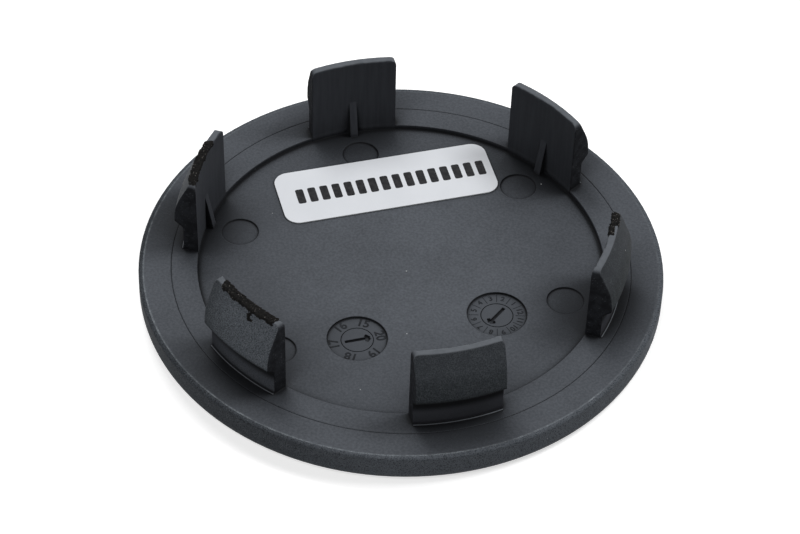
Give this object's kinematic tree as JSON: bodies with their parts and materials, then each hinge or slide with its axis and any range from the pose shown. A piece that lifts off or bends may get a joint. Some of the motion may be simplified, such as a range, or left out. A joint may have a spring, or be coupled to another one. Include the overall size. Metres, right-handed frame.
{
  "type": "wheel centre cap",
  "caption": "Round snap-in wheel centre cap lying face down: a flanged disc with a ring of barbed snap legs, each with a gusset rib, round a recessed floor with a small label.",
  "frame": {"origin": "middle of the show face, which lies down on z = 0", "axes": "+Z along the cap's axis, from the show face towards the snap legs; +X through the middle of one leg"},
  "size_m": [0.07, 0.07, 0.0163],
  "materials": {
    "cap_plastic": "charcoal moulded plastic, satin on the flat faces and fine spark grain on the rim and the lead-in ramps",
    "label_film": "matt white self-adhesive film with plain dark bars"
  },
  "bodies": {
    "root": {"cap_body": "cap_plastic", "label": "label_film"}
  },
  "joints": []
}
